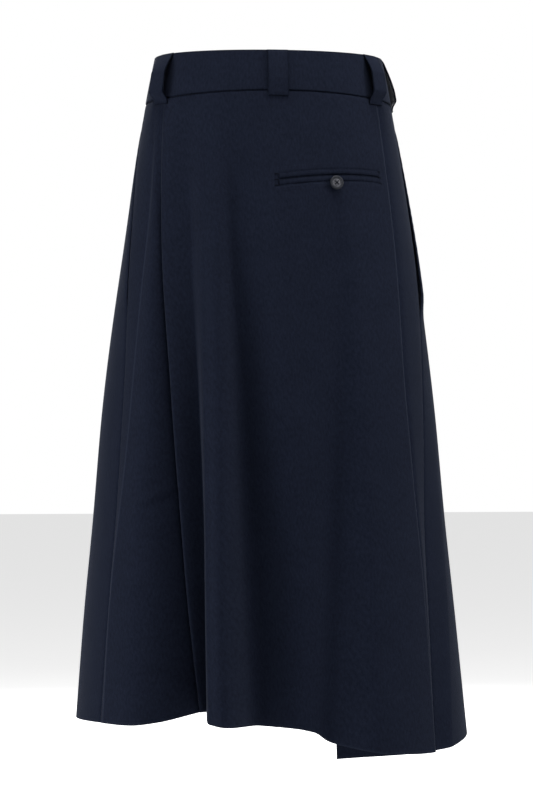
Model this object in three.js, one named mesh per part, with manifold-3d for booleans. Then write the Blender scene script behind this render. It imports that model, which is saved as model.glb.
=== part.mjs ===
// Wrap skirt in navy twill, filled out as if worn. Millimetres, +Z up. The front faces -Y, so the
// wearer's right is -X. The origin is the centre of the waist opening, level with the top edge of the
// waistband at the centre back, and the skirt hangs below it.
import * as THREE from 'three';
import { mergeVertices } from 'three/addons/utils/BufferGeometryUtils.js';
import Module from 'manifold-3d';

// Cloth thicknesses and the gap left where pieces meet
const PANEL_THICK = 1.4;
const BAND_THICK = 2.4;
const LOOP_THICK = 2;
const JET_THICK = 1.6;
const FACING_THICK = 1;
const GAP = 0.3;

// Rows down each panel, the first of them close under its top edge, and rows down the waistband
const PANEL_ROWS = 18;
const PANEL_FIRST_ROW = 0.02;
const BAND_ROWS = 4;
const BAND_COLUMN_TURN = 6;

// Waistband: its top edge rises at the sides, and its lower seam dips there
const BAND_HEIGHT = 46;
const TOP_RISE_AT_SIDES = 1.6;
const SEAM_DIP_AT_SIDES = 6;
const BAND_LEFT_JOIN = -92;
const BAND_RIGHT_JOIN = 88;

// The plain section at each height: half of its width (X) and half of its depth (Y)
const SECTIONS = [
  { z: 2, halfWidth: 132.1, halfDepth: 96.6 },
  { z: -47, halfWidth: 142, halfDepth: 106 },
  { z: -175, halfWidth: 163.5, halfDepth: 127 },
  { z: -292, halfWidth: 180.5, halfDepth: 144 },
  { z: -409, halfWidth: 194, halfDepth: 158 },
  { z: -526, halfWidth: 205, halfDepth: 170 },
  { z: -644, halfWidth: 217.5, halfDepth: 182 },
  { z: -760, halfWidth: 227.5, halfDepth: 192 },
  { z: -850, halfWidth: 235.5, halfDepth: 198.5 },
];

// Seams, ridges and valleys in order round the skirt, from the underlap's free edge past the right
// side, the back and the left side to the flap's free edge. turn is the angle from the centre back in
// degrees, positive towards the wearer's right. depth is how far the cloth stands out of the plain
// section. Both have one value at each of LEVELS. crease is 0 where the cloth turns over softly and
// 1 where it is pressed sharp. steps is the number of columns from this line to the next.
const LEVELS = [-47, -200, -400, -600, -800];
const LINES = [
  { name: 'underlap edge', turn: [153, 153, 153, 152.8, 152.6], depth: [0, -2, -6, -10, -14], crease: 1, steps: 4 },
  { name: 'underlap ridge', turn: [130, 130, 130, 130, 130], depth: [0, -2, -4, -6, -8], crease: 0, steps: 4 },
  { name: 'underlap valley', turn: [110, 110, 110, 110, 110], depth: [0, -2, -5, -9, -13], crease: 0, steps: 4 },
  { name: 'right side ridge', turn: [98, 95, 90, 88, 87], depth: [0, 0, 1, 0, 3], crease: 0, steps: 4 },
  { name: 'right front crease', turn: [94, 90, 78, 68, 58.5], depth: [0, 0, 0, 1, 3], crease: 0.7, steps: 4 },
  { name: 'right side seam', turn: [88, 80, 64, 55.2, 51.2], depth: [0, 0, -2, -5, -5], crease: 0.6, steps: 5 },
  { name: 'right back seam', turn: [56.2, 53, 48.3, 49.2, 48.9], depth: [0, 2, 3.5, 4, 4], crease: 1, steps: 5 },
  { name: 'third ridge', turn: [31, 30.5, 28.5, 27.5, 26], depth: [0, 1.5, 6, 8, 8.5], crease: 0, steps: 4 },
  { name: 'third valley', turn: [20, 21.5, 18, 15.5, 13], depth: [0, -1.5, -8.5, -18, -24], crease: 0, steps: 4 },
  { name: 'second ridge', turn: [-2.5, -0.5, 0.5, 5.5, 7.5], depth: [0, 0.5, 0.5, -6, -12], crease: 0, steps: 4 },
  { name: 'second valley', turn: [-21, -19.5, -13.5, -9.3, -5], depth: [0, -6.5, -20.5, -32, -39], crease: 0, steps: 4 },
  { name: 'first ridge', turn: [-29, -24.5, -19.8, -17, -14.5], depth: [0, 3, 9, 12, 8], crease: 0, steps: 4 },
  { name: 'first ridge edge', turn: [-36, -31, -26.2, -23.2, -21], depth: [0, 0.5, 4, 7, 4], crease: 0.5, steps: 4 },
  { name: 'first valley', turn: [-46, -38, -31, -27.9, -26.9], depth: [0, -5, -20, -38, -66], crease: 0.5, steps: 4 },
  { name: 'pleat edge', turn: [-60.6, -50.6, -39.6, -33.8, -28], depth: [0, 1, -4, -26, -62], crease: 0.5, steps: 2 },
  { name: 'left back seam', turn: [-62, -52.2, -41.3, -34.9, -28.8], depth: [0, -3, -16, -34, -63], crease: 1.8, steps: 6 },
  { name: 'left back roll', turn: [-66, -55.7, -50.5, -51, -50], depth: [0, 3, 5, 4, 3], crease: 0, steps: 4 },
  { name: 'left back crease', turn: [-70, -59, -57.8, -60.5, -59.3], depth: [0, 1, 2, 2, 2], crease: 0.8, steps: 4 },
  { name: 'left side seam', turn: [-97, -75.5, -65.2, -62.9, -61.7], depth: [0, 0, -2, -2, 0], crease: 0.6, steps: 4 },
  { name: 'left side ridge', turn: [-106, -98, -96, -95, -94], depth: [0, -2, 0, -2, -4], crease: 0, steps: 4 },
  { name: 'left front valley', turn: [-122, -119, -117, -116, -115], depth: [0, -2, -8, -15, -21], crease: 0, steps: 4 },
  { name: 'left front ridge', turn: [-143, -142, -141, -140, -139], depth: [0, 0, 2, 4, 4], crease: 0, steps: 4 },
  { name: 'front valley', turn: [-163, -163, -162, -161, -160], depth: [0, -2, -8, -15, -20], crease: 0, steps: 4 },
  { name: 'front ridge', turn: [-188, -187, -186, -185, -184], depth: [0, 0, 2, 3, 3], crease: 0, steps: 4 },
  { name: 'right front valley', turn: [-212, -212, -211, -211, -210], depth: [0, 0, -2, -5, -9], crease: 0, steps: 4 },
  { name: 'flap edge', turn: [-242, -242, -242, -242, -242], depth: [0, 0, 0, 0, 0], crease: 1, steps: 0 },
];

// Height of the hem at each turn: the skirt is longest at the right front, where the wrap ends overlap
const HEM = [
  { turn: -242, z: -824 },
  { turn: -228, z: -819 },
  { turn: -207, z: -807 },
  { turn: -193, z: -794 },
  { turn: -180, z: -784 },
  { turn: -165, z: -776 },
  { turn: -120, z: -771 },
  { turn: -95, z: -767 },
  { turn: -60, z: -761.5 },
  { turn: -47, z: -760.5 },
  { turn: -40, z: -757 },
  { turn: -28, z: -748 },
  { turn: -21, z: -754.5 },
  { turn: -8, z: -760.1 },
  { turn: 3, z: -761.6 },
  { turn: 9, z: -765.8 },
  { turn: 14, z: -777.2 },
  { turn: 21, z: -784 },
  { turn: 30, z: -790 },
  { turn: 50, z: -795 },
  { turn: 70, z: -789.5 },
  { turn: 86, z: -787 },
  { turn: 100, z: -805 },
  { turn: 114, z: -822 },
  { turn: 130, z: -833 },
  { turn: 153, z: -843 },
];

// The flap lies over the underlap, so it stands out from the section past the edge of the underlap
const FLAP_LIFT = 3.6;
const FLAP_LIFT_FROM = -178;
const FLAP_LIFT_FULL = -204;

// Side pockets: the mouth runs down each side seam, and the front edge stands off the back one
const MOUTH_TOP = -64;
const MOUTH_BOTTOM = -310;
const MOUTH_GAPE_RIGHT = 5;
const MOUTH_GAPE_LEFT = 1.4;
const MOUTH_WIDEST = 0.85;
const MOUTH_TOP_SHARE = 0.25;
const MOUTH_FADE = 45;
const FACING_BEHIND = 7;
const FACING_AHEAD = 26;
const FACING_CLEAR = 0.85;
const FACING_COLUMNS = 4;
const FACING_ROWS = 8;

// Belt loops: turn of each at its top, how far its foot leans, and how far it bows off the waistband,
// with the stretch of its length where the bow is full
const LOOP_WIDTH = 23.4;
const LOOP_BELOW_SEAM = 7.5;
const LOOP_COLUMNS = 3;
const LOOP_ROWS = 14;
const LOOP_TOP_SEWN = 0.06;
const LOOP_FOOT_SEWN = 0.9;
const LOOPS = [
  { name: 'loop_centre_back', turn: 0, lean: 0, bow: 6.4, fullFrom: 0.4, fullTo: 0.62 },
  { name: 'loop_left_back', turn: -66, lean: 3, bow: 8.2, fullFrom: 0.4, fullTo: 0.62 },
  { name: 'loop_right_back', turn: 57, lean: -3, bow: 7.6, fullFrom: 0.36, fullTo: 0.62 },
  { name: 'loop_right_side', turn: 93, lean: 0, bow: 6, fullFrom: 0.62, fullTo: 0.78 },
  { name: 'loop_left_front', turn: -137, lean: 0, bow: 7.4, fullFrom: 0.4, fullTo: 0.62 },
  { name: 'loop_right_front', turn: -218, lean: 0, bow: 7.4, fullFrom: 0.4, fullTo: 0.62 },
];

// Welt pocket on the right back: a slit between two jets, tilted up to the right and arched
const POCKET_FROM_TURN = -0.6;
const POCKET_TO_TURN = 47.2;
const POCKET_LEFT_Z = -149.6;
const POCKET_RIGHT_Z = -142.9;
const POCKET_ARCH = 3.4;
const JET_HEIGHT = 6.4;
const JET_SLIT = 0.9;
const JET_COLUMNS = 12;
const JET_ROWS = 2;

// Pocket button, sewn over the lower jet
const BUTTON_TURN = 23.8;
const BUTTON_Z = -152.3;
const BUTTON_RADIUS = 7.75;
const BUTTON_THICK = 3.2;
const BUTTON_EDGE_RADIUS = 0.8;
const BUTTON_DISH_RADIUS = 5.3;
const BUTTON_DISH_DEPTH = 0.9;
const BUTTON_HOLE_RADIUS = 0.8;
const BUTTON_HOLE_OFFSET = 1.35;
const BUTTON_SIDES = 36;
const BUTTON_HOLE_SIDES = 12;

const TWILL = new THREE.MeshStandardMaterial({ color: 0x1b2232, roughness: 0.82, metalness: 0 });
const FACING_CLOTH = new THREE.MeshStandardMaterial({ color: 0x161c2a, roughness: 0.86, metalness: 0 });
const HORN = new THREE.MeshStandardMaterial({ color: 0x6e7078, roughness: 0.35, metalness: 0 });

const clamp = THREE.MathUtils.clamp;
const lerp = THREE.MathUtils.lerp;
const smooth = (from, to, value) => THREE.MathUtils.smoothstep(value, from, to);

// A smooth curve through (x, y) rows with x rising, which never swings past the rows beside it
function curveThrough(xs, ys) {
  const last = xs.length - 1;
  const chord = xs.slice(1).map((x, k) => (ys[k + 1] - ys[k]) / (x - xs[k]));
  const slope = xs.map((x, k) => {
    if (k === 0) return chord[0];
    if (k === last) return chord[last - 1];
    const same = chord[k - 1] * chord[k] > 0;
    return same ? (2 * chord[k - 1] * chord[k]) / (chord[k - 1] + chord[k]) : 0;
  });
  return (x) => {
    const at = clamp(x, xs[0], xs[last]);
    let k = 0;
    while (k < last - 1 && at > xs[k + 1]) k += 1;
    const span = xs[k + 1] - xs[k];
    return blend((at - xs[k]) / span, ys[k], ys[k + 1], slope[k] * span, slope[k + 1] * span);
  };
}

// Cubic between two values with a slope at each end
function blend(u, from, to, slopeFrom, slopeTo) {
  const rest = 1 - u;
  return (
    from * (1 + 2 * u) * rest * rest +
    to * (3 - 2 * u) * u * u +
    slopeFrom * u * rest * rest -
    slopeTo * u * u * rest
  );
}

const rising = (rows, key) => [...rows].sort((a, b) => a.z - b.z).map((row) => row[key]);
const halfWidth = curveThrough(rising(SECTIONS, 'z'), rising(SECTIONS, 'halfWidth'));
const halfDepth = curveThrough(rising(SECTIONS, 'z'), rising(SECTIONS, 'halfDepth'));
const hemHeight = curveThrough(HEM.map((row) => row.turn), HEM.map((row) => row.z));
const levelsUp = [...LEVELS].reverse();
const lines = LINES.map((line) => ({
  ...line,
  turnAt: curveThrough(levelsUp, [...line.turn].reverse()),
  depthAt: curveThrough(levelsUp, [...line.depth].reverse()),
}));
const lineNumber = (name) => lines.findIndex((line) => line.name === name);

const radians = THREE.MathUtils.degToRad;
const sideShare = (turn) => Math.sin(radians(turn)) ** 2;
const bandTop = (turn) => TOP_RISE_AT_SIDES * sideShare(turn);
const bandSeam = (turn) => -BAND_HEIGHT - SEAM_DIP_AT_SIDES * sideShare(turn);

// How far the folds carry the cloth out of the plain section
function foldDepth(turn, z) {
  let k = 0;
  while (k < lines.length - 2 && turn < lines[k + 1].turnAt(z)) k += 1;
  const [from, to] = [lines[k], lines[k + 1]];
  const [start, end] = [from.turnAt(z), to.turnAt(z)];
  const u = clamp((turn - start) / (end - start), 0, 1);
  const rise = to.depthAt(z) - from.depthAt(z);
  return blend(u, from.depthAt(z), to.depthAt(z), rise * from.crease, rise * to.crease);
}

const flapLift = (turn) => FLAP_LIFT * (1 - smooth(FLAP_LIFT_FULL, FLAP_LIFT_FROM, turn));

// A point of the skirt's middle surface
function skirtPoint(turn, z) {
  const [a, b] = [halfWidth(z), halfDepth(z)];
  const [s, c] = [Math.sin(radians(turn)), Math.cos(radians(turn))];
  const out = (foldDepth(turn, z) + flapLift(turn)) / Math.hypot(s / a, c / b);
  return new THREE.Vector3(-a * s - (out * s) / a, b * c + (out * c) / b, z);
}

// The same point with the direction round the skirt and the direction out of the cloth. Round a
// corner both are halfway between its two sides, so pieces that meet there are mitred.
const NEAR_TURN = 0.12;
const NEAR_Z = 1;
function skirtFrame(turn, z) {
  const point = skirtPoint(turn, z);
  const ahead = skirtPoint(turn + NEAR_TURN, z).sub(point).normalize();
  const behind = point.clone().sub(skirtPoint(turn - NEAR_TURN, z)).normalize();
  const round = ahead.add(behind).normalize();
  const up = skirtPoint(turn, z + NEAR_Z).sub(skirtPoint(turn, z - NEAR_Z)).normalize();
  const out = round.clone().cross(up).normalize();
  return { point, round, out };
}

const moved = (frame, out, round = 0) =>
  frame.point.clone().addScaledVector(frame.out, out).addScaledVector(frame.round, round);

// A closed wall from two grids of points, its outer and inner faces, joined round the rim
function wall(columns, rows, outer, inner) {
  const positions = [];
  const put = (grid) => {
    const first = positions.length / 3;
    for (let i = 0; i <= columns; i += 1) {
      for (let j = 0; j <= rows; j += 1) positions.push(...grid(i, j).toArray());
    }
    return (i, j) => first + i * (rows + 1) + j;
  };
  const [o, n] = [put(outer), put(inner)];
  const triangles = [];
  const quad = (a, b, c, d) => triangles.push(a, b, c, a, c, d);
  for (let i = 0; i < columns; i += 1) {
    for (let j = 0; j < rows; j += 1) {
      quad(o(i, j), o(i + 1, j), o(i + 1, j + 1), o(i, j + 1));
      quad(n(i, j), n(i, j + 1), n(i + 1, j + 1), n(i + 1, j));
    }
    quad(o(i, 0), n(i, 0), n(i + 1, 0), o(i + 1, 0));
    quad(o(i, rows), o(i + 1, rows), n(i + 1, rows), n(i, rows));
  }
  for (let j = 0; j < rows; j += 1) {
    quad(o(0, j), o(0, j + 1), n(0, j + 1), n(0, j));
    quad(o(columns, j), n(columns, j), n(columns, j + 1), o(columns, j + 1));
  }
  const geometry = new THREE.BufferGeometry();
  geometry.setAttribute('position', new THREE.Float32BufferAttribute(positions, 3));
  geometry.setIndex(facingOut(positions, triangles));
  geometry.computeVertexNormals();
  return geometry;
}

// The triangles turned so that they face out of the solid
function facingOut(positions, triangles) {
  const corner = (index) => new THREE.Vector3().fromArray(positions, index * 3);
  let volume = 0;
  for (let t = 0; t < triangles.length; t += 3) {
    const [a, b, c] = triangles.slice(t, t + 3).map(corner);
    volume += a.dot(b.cross(c));
  }
  return volume < 0 ? triangles.reverse() : triangles;
}

const skirt = new THREE.Group();
function add(name, geometry, material) {
  const mesh = new THREE.Mesh(geometry, material);
  mesh.name = name;
  skirt.add(mesh);
  return mesh;
}

// Panels hang from the waistband seam to the hem, between two of the lines. A column follows its
// line down the skirt, so its turn and height are found together.
const SETTLE_STEPS = 6;
function panel(name, fromLine, toLine, seams, mouthLift) {
  const [from, to] = [lineNumber(fromLine), lineNumber(toLine)];
  const columns = [];
  for (let k = from; k < to; k += 1) {
    for (let s = 0; s < lines[k].steps; s += 1) columns.push({ k, share: s / lines[k].steps });
  }
  columns.push({ k: to - 1, share: 1 });
  const at = (i, j) => {
    const { k, share } = columns[i];
    const down = j ? lerp(PANEL_FIRST_ROW, 1, (j - 1) / (PANEL_ROWS - 1)) : 0;
    let z = LEVELS[0];
    let turn = 0;
    for (let step = 0; step < SETTLE_STEPS; step += 1) {
      turn = lerp(lines[k].turnAt(z), lines[k + 1].turnAt(z), share);
      z = lerp(bandSeam(turn) - GAP / 2, hemHeight(turn), down);
    }
    return { turn, z };
  };
  const grid = (side) => (i, j) => {
    const { turn, z } = at(i, j);
    const atSeam = i === 0 ? -seams.from : i === columns.length - 1 ? seams.to : 0;
    const lift = mouthLift ? mouthLift(turn, z) : 0;
    return moved(skirtFrame(turn, z), (side * PANEL_THICK) / 2 + lift, (atSeam * GAP) / 2);
  };
  add(name, wall(columns.length - 1, PANEL_ROWS, grid(1), grid(-1)), TWILL);
}

// The front edge of a pocket mouth stands off by this much, fading towards the front
function mouthLiftBeside(seamName, gape) {
  const seam = lines[lineNumber(seamName)];
  return (turn, z) => {
    const along = (MOUTH_TOP - z) / (MOUTH_TOP - MOUTH_BOTTOM);
    if (along <= 0 || along >= 1) return 0;
    const open = along < MOUTH_WIDEST
      ? lerp(MOUTH_TOP_SHARE, 1, along / MOUTH_WIDEST) * smooth(0, MOUTH_TOP_SHARE / 2, along)
      : 1 - smooth(MOUTH_WIDEST, 1, along);
    const away = Math.abs(radians(turn - seam.turnAt(z))) * halfDepth(z);
    return gape * open * (1 - smooth(0, MOUTH_FADE, away));
  };
}

const seamBoth = { from: 1, to: 1 };
const rightMouth = mouthLiftBeside('right side seam', MOUTH_GAPE_RIGHT);
const leftMouth = mouthLiftBeside('left side seam', MOUTH_GAPE_LEFT);
panel('underlap', 'underlap edge', 'right side seam', { from: 0, to: 1 }, rightMouth);
panel('back_right_panel', 'right side seam', 'right back seam', seamBoth);
panel('back_centre_panel', 'right back seam', 'left back seam', seamBoth);
panel('back_left_panel', 'left back seam', 'left side seam', seamBoth);
panel('wrap_flap', 'left side seam', 'flap edge', { from: 1, to: 0 }, leftMouth);

// The waistband in three lengths, each from its top edge to the seam
function band(name, fromTurn, toTurn, seams) {
  const columns = Math.round(Math.abs(fromTurn - toTurn) / BAND_COLUMN_TURN);
  const grid = (side) => (i, j) => {
    const turn = lerp(fromTurn, toTurn, i / columns);
    const z = lerp(bandTop(turn), bandSeam(turn) + GAP / 2, j / BAND_ROWS);
    const atSeam = i === 0 ? -seams.from : i === columns ? seams.to : 0;
    return moved(skirtFrame(turn, z), (side * BAND_THICK) / 2, (atSeam * GAP) / 2);
  };
  add(name, wall(columns, BAND_ROWS, grid(1), grid(-1)), TWILL);
}

const turnsOf = (name) => lines[lineNumber(name)].turn[0];
band('band_underlap', turnsOf('underlap edge'), BAND_RIGHT_JOIN, { from: 0, to: 1 });
band('band_back', BAND_RIGHT_JOIN, BAND_LEFT_JOIN, seamBoth);
band('band_wrap', BAND_LEFT_JOIN, turnsOf('flap edge'), { from: 1, to: 0 });

// Millimetres round the section for each degree of turn
const arcPerDegree = (turn, z) => {
  const [s, c] = [Math.sin(radians(turn)), Math.cos(radians(turn))];
  return radians(Math.hypot(halfWidth(z) * c, halfDepth(z) * s));
};

// Belt loops are folded strips sewn at the top edge and just under the seam, bowed off the band
const LOOP_ON_BAND = BAND_THICK / 2 + GAP + LOOP_THICK / 2;
const LOOP_ON_PANEL = PANEL_THICK / 2 + GAP + LOOP_THICK / 2;
for (const loop of LOOPS) {
  const grid = (side) => (i, j) => {
    const down = j / LOOP_ROWS;
    const centre = loop.turn + loop.lean * down;
    const z = lerp(bandTop(centre), bandSeam(centre) - LOOP_BELOW_SEAM, down);
    const turn = centre + ((i / LOOP_COLUMNS - 0.5) * LOOP_WIDTH) / arcPerDegree(centre, z);
    const bow = loop.bow * smooth(LOOP_TOP_SEWN, loop.fullFrom, down)
      * (1 - smooth(loop.fullTo, LOOP_FOOT_SEWN, down));
    const rest = lerp(LOOP_ON_BAND, LOOP_ON_PANEL, smooth(LOOP_FOOT_SEWN, 1, down));
    return moved(skirtFrame(turn, z), rest + bow + (side * LOOP_THICK) / 2);
  };
  add(loop.name, wall(LOOP_COLUMNS, LOOP_ROWS, grid(1), grid(-1)), TWILL);
}

// The two jets of the welt pocket lie on the centre back panel, either side of the slit
function jet(name, sign) {
  const grid = (side) => (i, j) => {
    const u = i / JET_COLUMNS;
    const arch = POCKET_ARCH * (1 - (2 * u - 1) ** 2);
    const slit = lerp(POCKET_LEFT_Z, POCKET_RIGHT_Z, u) + arch;
    const z = slit + sign * (JET_SLIT / 2 + (JET_HEIGHT * j) / JET_ROWS);
    const turn = lerp(POCKET_FROM_TURN, POCKET_TO_TURN, u);
    const rest = PANEL_THICK / 2 + GAP + JET_THICK / 2;
    return moved(skirtFrame(turn, z), rest + (side * JET_THICK) / 2);
  };
  add(name, wall(JET_COLUMNS, JET_ROWS, grid(1), grid(-1)), TWILL);
}
jet('welt_upper', 1);
jet('welt_lower', -1);

// Pocket facings close the mouths from inside, from behind the back edge to under the front edge
function facing(name, seamName, towardsFront) {
  const seam = lines[lineNumber(seamName)];
  const rest = -(PANEL_THICK / 2 + FACING_CLEAR + FACING_THICK / 2);
  const grid = (side) => (i, j) => {
    const z = lerp(MOUTH_TOP, MOUTH_BOTTOM, j / FACING_ROWS);
    const along = lerp(-FACING_BEHIND, FACING_AHEAD, i / FACING_COLUMNS) * towardsFront;
    const turn = seam.turnAt(z) + along / arcPerDegree(seam.turnAt(z), z);
    return moved(skirtFrame(turn, z), rest + (side * FACING_THICK) / 2);
  };
  add(name, wall(FACING_COLUMNS, FACING_ROWS, grid(1), grid(-1)), FACING_CLOTH);
}
facing('pocket_facing_right', 'right side seam', 1);
facing('pocket_facing_left', 'left side seam', -1);

// The button is turned with a dished face and drilled with four holes
const wasm = await Module();
wasm.setup();

function solidOf(geometry) {
  geometry.deleteAttribute('normal');
  geometry.deleteAttribute('uv');
  const merged = mergeVertices(geometry);
  return new wasm.Manifold(new wasm.Mesh({
    numProp: 3,
    vertProperties: merged.attributes.position.array,
    triVerts: new Uint32Array(merged.index.array),
  }));
}

function geometryOf(solid) {
  const mesh = solid.getMesh();
  const geometry = new THREE.BufferGeometry();
  geometry.setAttribute('position', new THREE.BufferAttribute(mesh.vertProperties, 3));
  geometry.setIndex(Array.from(mesh.triVerts));
  geometry.computeVertexNormals();
  return geometry;
}

function buttonGeometry() {
  const rim = BUTTON_RADIUS - BUTTON_EDGE_RADIUS;
  const face = BUTTON_THICK;
  const profile = [
    new THREE.Vector2(0, 0),
    new THREE.Vector2(rim, 0),
    new THREE.Vector2(BUTTON_RADIUS, BUTTON_EDGE_RADIUS),
    new THREE.Vector2(BUTTON_RADIUS, face - BUTTON_EDGE_RADIUS),
    new THREE.Vector2(rim, face),
    new THREE.Vector2(lerp(BUTTON_DISH_RADIUS, rim, 0.5), face),
    new THREE.Vector2(BUTTON_DISH_RADIUS, face - BUTTON_DISH_DEPTH),
    new THREE.Vector2(0, face - BUTTON_DISH_DEPTH),
  ];
  let body = solidOf(new THREE.LatheGeometry(profile, BUTTON_SIDES));
  for (const [right, up] of [[1, 1], [1, -1], [-1, 1], [-1, -1]]) {
    const hole = new THREE.CylinderGeometry(
      BUTTON_HOLE_RADIUS, BUTTON_HOLE_RADIUS, BUTTON_THICK * 2, BUTTON_HOLE_SIDES,
    );
    hole.translate(right * BUTTON_HOLE_OFFSET, BUTTON_THICK / 2, up * BUTTON_HOLE_OFFSET);
    body = body.subtract(solidOf(hole));
  }
  return geometryOf(body);
}

const buttonSeat = skirtFrame(BUTTON_TURN, BUTTON_Z);
const buttonRest = PANEL_THICK / 2 + GAP + JET_THICK + GAP;
const button = add('pocket_button', buttonGeometry(), HORN);
button.position.copy(moved(buttonSeat, buttonRest));
button.quaternion.setFromUnitVectors(new THREE.Vector3(0, 1, 0), buttonSeat.out);

export default skirt;
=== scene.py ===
import math

import bpy
import numpy as np
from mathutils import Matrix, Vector


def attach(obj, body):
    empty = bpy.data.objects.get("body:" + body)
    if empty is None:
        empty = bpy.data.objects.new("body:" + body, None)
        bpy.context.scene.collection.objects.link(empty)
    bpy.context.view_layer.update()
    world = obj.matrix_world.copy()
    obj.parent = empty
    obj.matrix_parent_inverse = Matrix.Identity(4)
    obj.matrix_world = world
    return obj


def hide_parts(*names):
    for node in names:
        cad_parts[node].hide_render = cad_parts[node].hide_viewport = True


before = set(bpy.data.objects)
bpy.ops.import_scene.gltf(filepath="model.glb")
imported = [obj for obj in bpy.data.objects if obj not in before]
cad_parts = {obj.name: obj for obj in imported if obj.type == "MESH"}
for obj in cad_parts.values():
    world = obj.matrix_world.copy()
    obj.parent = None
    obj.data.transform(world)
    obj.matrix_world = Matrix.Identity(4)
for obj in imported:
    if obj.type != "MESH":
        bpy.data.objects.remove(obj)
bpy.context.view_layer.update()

# Back centre panel: navy cotton twill from the waist seam to the hem, sewn and pressed at its right
# edge, and rolled softly at its left over the released pleat. The tables give the form that all the
# cloth hangs in: plain sections round the filled-out waist and hips, and the lines where it folds.
SECTIONS = [
    dict(z=0.002, half_width=0.1321, half_depth=0.0966),
    dict(z=-0.047, half_width=0.142, half_depth=0.106),
    dict(z=-0.175, half_width=0.1635, half_depth=0.127),
    dict(z=-0.292, half_width=0.1805, half_depth=0.144),
    dict(z=-0.409, half_width=0.194, half_depth=0.158),
    dict(z=-0.526, half_width=0.205, half_depth=0.17),
    dict(z=-0.644, half_width=0.2175, half_depth=0.182),
    dict(z=-0.76, half_width=0.2275, half_depth=0.192),
    dict(z=-0.85, half_width=0.2355, half_depth=0.1985),
]

# Each line runs down the skirt. turn is its angle from the centre back in degrees, positive towards
# the wearer's right, and depth is how far the cloth stands out of the plain section, in metres. Both
# have one value at each of LEVELS. crease is 0 where the cloth turns softly and 1 where it is pressed,
# which begins below the height starts. The painted highlight is how much lighter the line's colour is
# painted, and the cloth is glossier there too. What a row leaves out is 0.
LEVELS = (-0.047, -0.2, -0.4, -0.6, -0.8)
LINES = [
    dict(name="underlap edge", turn=(153, 153, 153, 152.8, 152.6),
         depth=(0, -0.002, -0.006, -0.01, -0.014), crease=1),
    dict(name="underlap ridge", turn=(130, 130, 130, 130, 130), depth=(0, -0.002, -0.004, -0.006, -0.008)),
    dict(name="underlap valley", turn=(110, 110, 110, 110, 110), depth=(0, -0.002, -0.005, -0.009, -0.013)),
    dict(name="right side ridge", turn=(98, 95, 90, 88, 87), depth=(0, 0, 0.001, 0, 0.003)),
    dict(name="right front crease", turn=(94, 90, 78, 68, 58.5), depth=(0, 0, 0, 0.001, 0.003), crease=0.7),
    dict(name="right side seam", turn=(88, 80, 64, 55.2, 51.2),
         depth=(0, 0, -0.002, -0.005, -0.005), crease=0.6),
    dict(name="right back seam", turn=(56.2, 53, 48.3, 49.2, 48.9),
         depth=(0, 0.002, 0.0035, 0.004, 0.004), crease=1, painted_highlight=2),
    dict(name="third ridge", turn=(31, 30.5, 28.5, 27.5, 26), depth=(0, 0.0025, 0.009, 0.0115, 0.0125)),
    dict(name="third valley", turn=(20, 21.5, 18, 15.5, 13), depth=(0, -0.0015, -0.0085, -0.018, -0.024)),
    dict(name="second ridge", turn=(-2.5, 0.5, 3.0, 7.5, 8.5), depth=(0, 0.0005, -0.0005, -0.011, -0.02)),
    dict(name="second valley", turn=(-21, -19.5, -14, -10.8, -7), depth=(0, -0.008, -0.0215, -0.035, -0.043)),
    dict(name="first ridge", turn=(-29, -25, -20.9, -19.1, -17.2), depth=(0, 0.004, 0.0115, 0.0145, 0.0105)),
    dict(name="first ridge edge", turn=(-36, -31, -26.2, -23.2, -21),
         depth=(0, 0.0005, 0.004, 0.007, 0.004), crease=0.5, starts=-0.19),
    dict(name="first valley", turn=(-46, -38, -31, -27.9, -26.9),
         depth=(0, -0.008, -0.021, -0.040, -0.066), crease=0.5, starts=-0.19),
    dict(name="pleat edge", turn=(-60.6, -50.6, -39.6, -33.8, -28),
         depth=(0, 0.001, -0.004, -0.026, -0.062), crease=0.5, starts=-0.17),
    dict(name="left back seam", turn=(-62, -52.2, -41.3, -34.9, -28.8),
         depth=(0, -0.003, -0.016, -0.034, -0.063), crease=1.8, starts=-0.17),
    dict(name="left back roll", turn=(-66, -55.7, -50.5, -51, -50), depth=(0, 0.003, 0.005, 0.004, 0.003)),
    dict(name="left back crease", turn=(-70, -59, -57.8, -60.5, -59.3),
         depth=(0, 0.001, 0.002, 0.002, 0.002), crease=0.8, starts=-0.17, painted_highlight=1),
    dict(name="left side seam", turn=(-97, -75.5, -65.2, -62.9, -61.7),
         depth=(0, 0, -0.002, -0.002, 0), crease=0.6, starts=-0.06),
    dict(name="left side ridge", turn=(-106, -98, -96, -95, -94), depth=(0, -0.002, 0, -0.002, -0.004)),
    dict(name="left front valley", turn=(-122, -119, -117, -116, -115),
         depth=(0, -0.002, -0.008, -0.015, -0.021)),
    dict(name="left front ridge", turn=(-143, -142, -141, -140, -139), depth=(0, 0, 0.002, 0.004, 0.004)),
    dict(name="front valley", turn=(-163, -163, -162, -161, -160), depth=(0, -0.002, -0.008, -0.015, -0.02)),
    dict(name="front ridge", turn=(-188, -187, -186, -185, -184), depth=(0, 0, 0.002, 0.003, 0.003)),
    dict(name="right front valley", turn=(-212, -212, -211, -211, -210),
         depth=(0, 0, -0.002, -0.005, -0.009)),
    dict(name="flap edge", turn=(-242, -242, -242, -242, -242), depth=(0, 0, 0, 0, 0), crease=1),
]

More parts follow.
